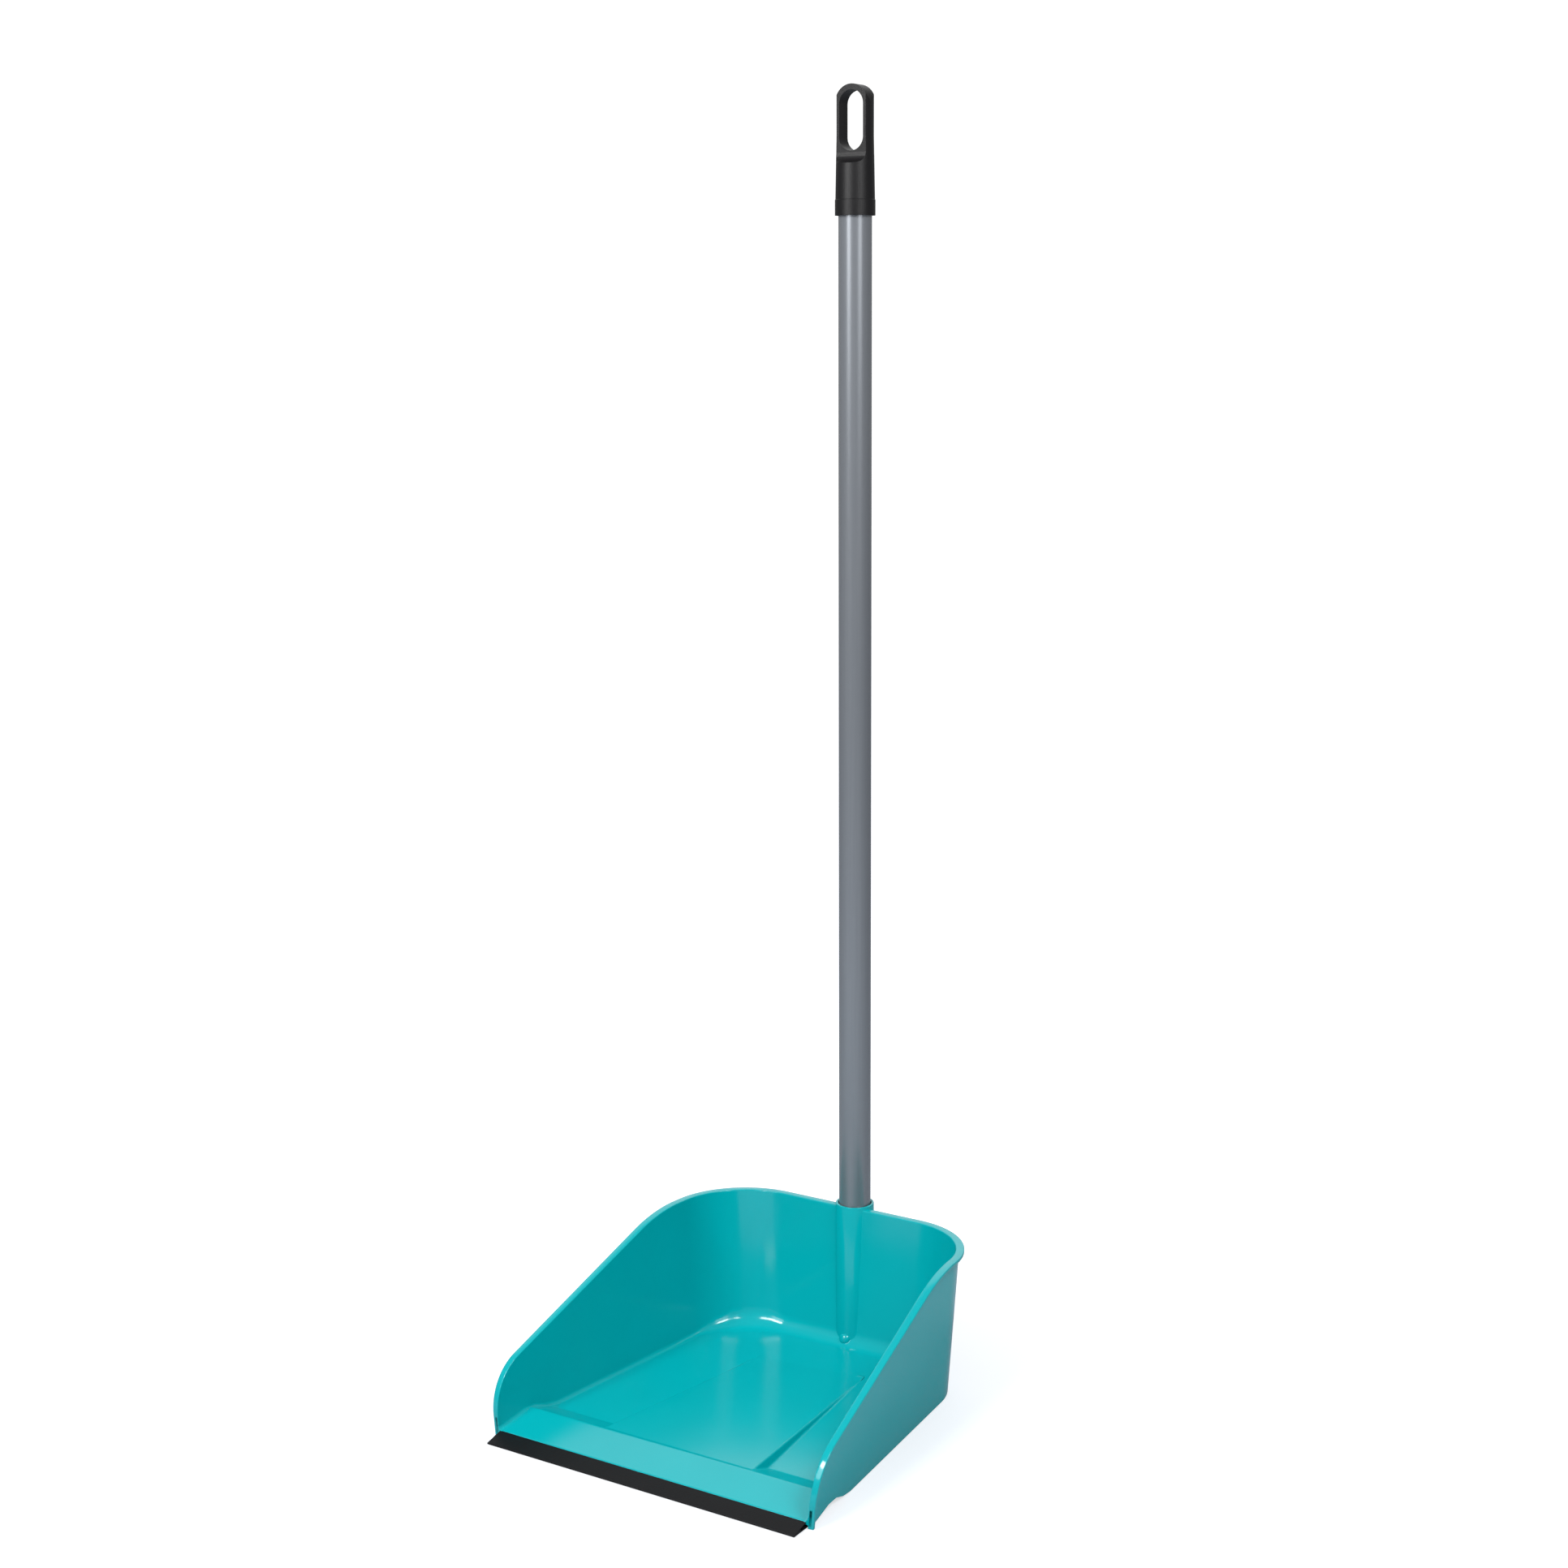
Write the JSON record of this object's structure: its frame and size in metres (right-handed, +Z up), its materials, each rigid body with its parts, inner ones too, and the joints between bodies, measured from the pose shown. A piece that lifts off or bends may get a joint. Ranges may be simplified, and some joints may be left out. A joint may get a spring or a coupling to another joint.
{
  "type": "long-handled dust pan",
  "caption": "Upright dust pan with a moulded scoop, a soft black front lip, a straight metal handle tube and a hanging eyelet cap.",
  "frame": {"origin": "on the floor, in the middle of the footprint", "axes": "+Z up along the handle, -Y towards the pan's open front, +X to the right as the open front is faced"},
  "size_m": [0.2472, 0.277, 0.8592],
  "materials": {
    "pan_plastic": "smooth glossy injection-moulded turquoise polypropylene",
    "lip_rubber": "soft matt black rubber",
    "tube_steel": "thin-walled steel tube with a silver-grey coat",
    "cap_plastic": "satin black moulded polypropylene"
  },
  "bodies": {
    "pan": {"pan_body": "pan_plastic", "lip_strip": "lip_rubber"},
    "handle": {"handle_tube": "tube_steel", "click_plug": "pan_plastic", "hang_cap": "cap_plastic"}
  },
  "joints": [
    {"name": "handle_pull", "type": "slide", "parent": "pan", "child": "handle", "axis": [0, 0, 1], "range_m": [0, 0.1], "deforming": ["click_plug"]}
  ]
}
